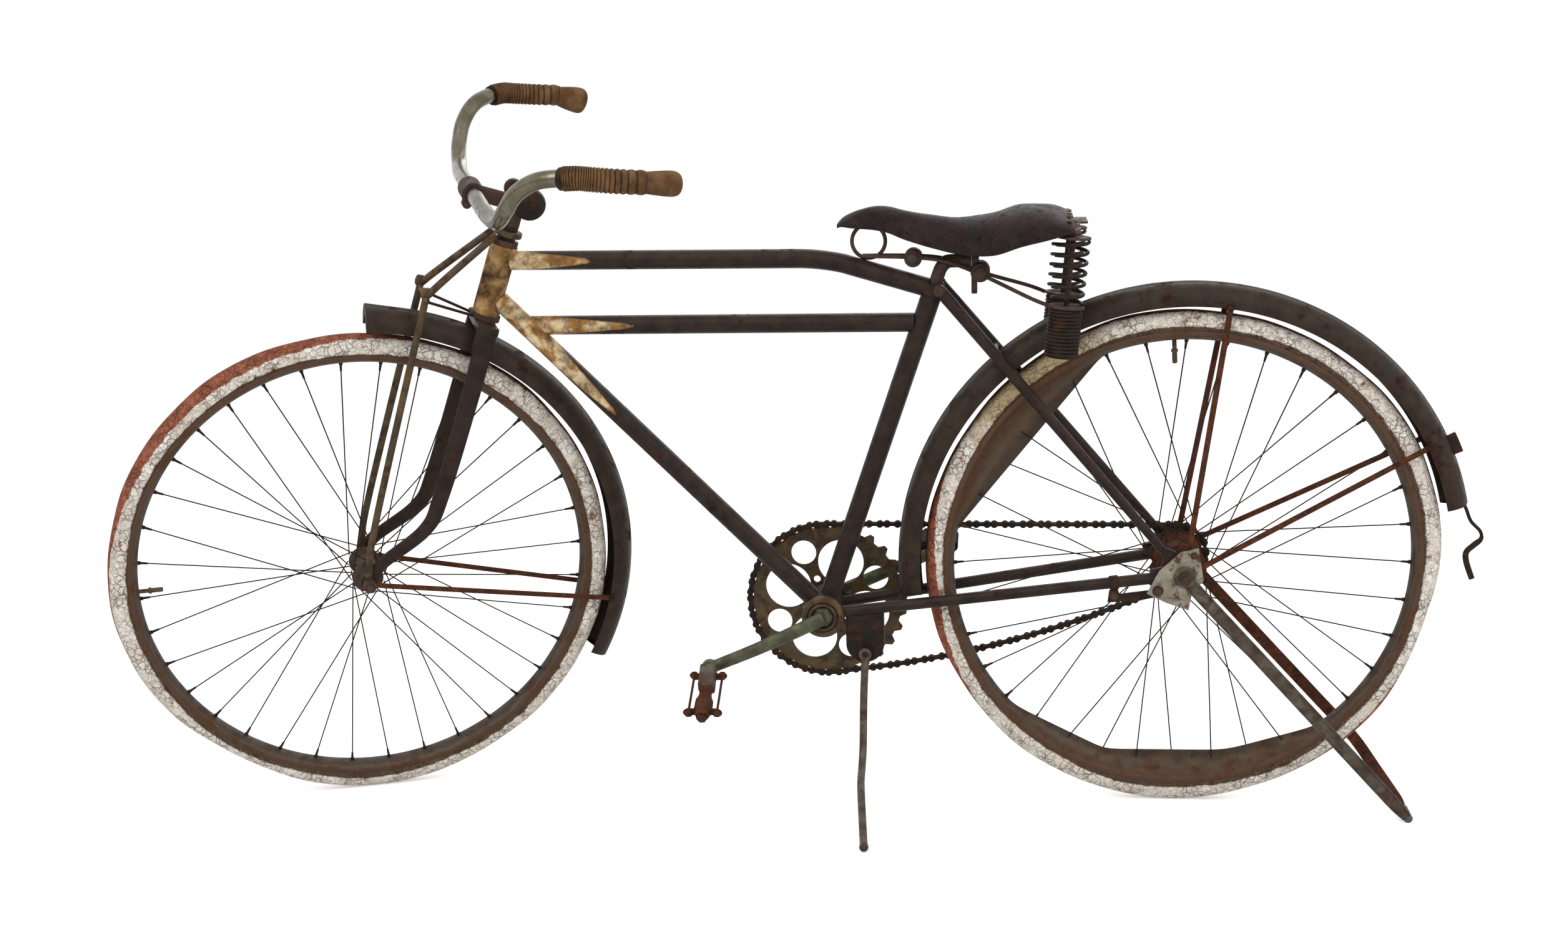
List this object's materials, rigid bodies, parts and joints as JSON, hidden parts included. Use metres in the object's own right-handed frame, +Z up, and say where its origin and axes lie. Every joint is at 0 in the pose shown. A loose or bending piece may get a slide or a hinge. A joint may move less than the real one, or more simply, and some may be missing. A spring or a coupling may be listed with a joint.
{
  "type": "bicycle",
  "caption": "Rusty steel roadster bicycle with sprung leather saddle, curved handlebar, full fenders, coaster hub, rear stand and side stand.",
  "frame": {"origin": "middle of the footprint box of the parked bicycle, on the floor", "axes": "+X to the bicycle's rear, +Y to the rider's right, +Z up from the floor; the frame leans five degrees to -Y on its side stand"},
  "size_m": [1.8979, 0.625, 1.0354],
  "materials": {
    "frame_paint": "old dark enamel, dulled and chipped to rust",
    "head_paint": "aged cream paint with dark rust",
    "fender_paint": "old dark enamel with brown rust",
    "rusty_steel": "dry brown rust",
    "red_rust": "red-brown rust",
    "dark_steel": "dark oiled rust",
    "cream_plate": "worn cream paint over rust",
    "nickel": "worn nickel plate, stained",
    "brass_rust": "olive and brown tarnish",
    "grey_steel": "greenish grey bare steel",
    "stand_steel": "grey bare steel with rust",
    "grip_rubber": "old brown ribbed rubber",
    "pedal_rubber": "old black rubber and rusty steel",
    "saddle_hide": "dry dark leather",
    "tyre_wall": "cracked white wall with red tread rubber",
    "rim_rust": "rusty plating"
  },
  "bodies": {
    "frame": {"head_tube": "head_paint", "headset": "rusty_steel", "upper_bar": "frame_paint", "lower_bar": "frame_paint", "down_tube": "frame_paint", "seat_tube": "frame_paint", "bottom_bracket": "dark_steel", "seat_stays": "frame_paint", "chain_stays": "frame_paint", "dropouts": "frame_paint", "seat_lug": "frame_paint", "seat_post": "rusty_steel", "saddle_frame": "rusty_steel", "saddle_springs": "dark_steel", "saddle_leather": "saddle_hide", "rear_fender": "fender_paint", "rear_fender_stays": "red_rust", "rear_axle": "rusty_steel", "axle_plate": "cream_plate", "brake_arm": "dark_steel", "stand_clip": "dark_steel", "hook": "dark_steel", "side_stand_bracket": "dark_steel", "chain": "dark_steel"},
    "steering": {"fork": "frame_paint", "truss_rods": "brass_rust", "front_axle": "rusty_steel", "front_fender": "fender_paint", "front_fender_stays": "red_rust", "stem": "rusty_steel", "handlebar": "nickel", "grips": "grip_rubber", "bell": "dark_steel"},
    "front_wheel": {"front_tyre": "tyre_wall", "front_rim": "rim_rust", "front_spokes": "dark_steel", "front_hub": "rusty_steel"},
    "rear_wheel": {"rear_tyre": "tyre_wall", "rear_rim": "rim_rust", "rear_spokes": "dark_steel", "rear_hub": "red_rust"},
    "cog": {"rear_cog": "rusty_steel"},
    "crankset": {"crank": "grey_steel", "chainring": "brass_rust"},
    "left_pedal_body": {"left_pedal": "red_rust"},
    "right_pedal_body": {"right_pedal": "pedal_rubber"},
    "side_stand_leg": {"side_stand": "stand_steel"},
    "rear_stand_legs": {"rear_stand": "stand_steel"}
  },
  "joints": [
    {"name": "steering", "type": "hinge", "parent": "frame", "child": "steering", "pos_m": [-0.55848, 0.02577, 0.32822], "axis": [0.337, -0.082, 0.9379], "range_deg": [-73.5, 26.5]},
    {"name": "front_wheel_spin", "type": "hinge", "parent": "steering", "child": "front_wheel", "pos_m": [-0.61857, -0.00376, 0.34723], "axis": [-0.3756, 0.9018, 0.2138], "continuous": true},
    {"name": "rear_wheel_spin", "type": "hinge", "parent": "frame", "child": "rear_wheel", "pos_m": [0.54199, 0.02372, 0.35372], "axis": [-0.0002, 0.9962, 0.0872], "continuous": true},
    {"name": "crank_spin", "type": "hinge", "parent": "frame", "child": "crankset", "pos_m": [0.04412, 0.02982, 0.28308], "axis": [-0.0002, 0.9962, 0.0872], "continuous": true},
    {"name": "cog_spin", "type": "hinge", "parent": "frame", "child": "cog", "pos_m": [0.54199, 0.02372, 0.35372], "axis": [-0.0002, 0.9962, 0.0872], "continuous": true},
    {"name": "left_pedal_spin", "type": "hinge", "parent": "crankset", "child": "left_pedal_body", "pos_m": [-0.11617, 0.03569, 0.21561], "axis": [-0.0002, 0.9962, 0.0872], "continuous": true},
    {"name": "right_pedal_spin", "type": "hinge", "parent": "crankset", "child": "right_pedal_body", "pos_m": [0.2044, 0.02394, 0.35054], "axis": [-0.0002, 0.9962, 0.0872], "continuous": true},
    {"name": "side_stand_fold", "type": "hinge", "parent": "frame", "child": "side_stand_leg", "pos_m": [0.10322, -0.00524, 0.22491], "axis": [0.0806, -0.9763, 0.2008], "range_deg": [0, 64]},
    {"name": "rear_stand_lift", "type": "hinge", "parent": "frame", "child": "rear_stand_legs", "pos_m": [0.54199, 0.02372, 0.35372], "axis": [0.0002, -0.9962, -0.0872], "range_deg": [-50, 71]}
  ],
  "couplings": [
    {"joint": "cog_spin", "follows": "crank_spin", "ratio": 2.8}
  ]
}
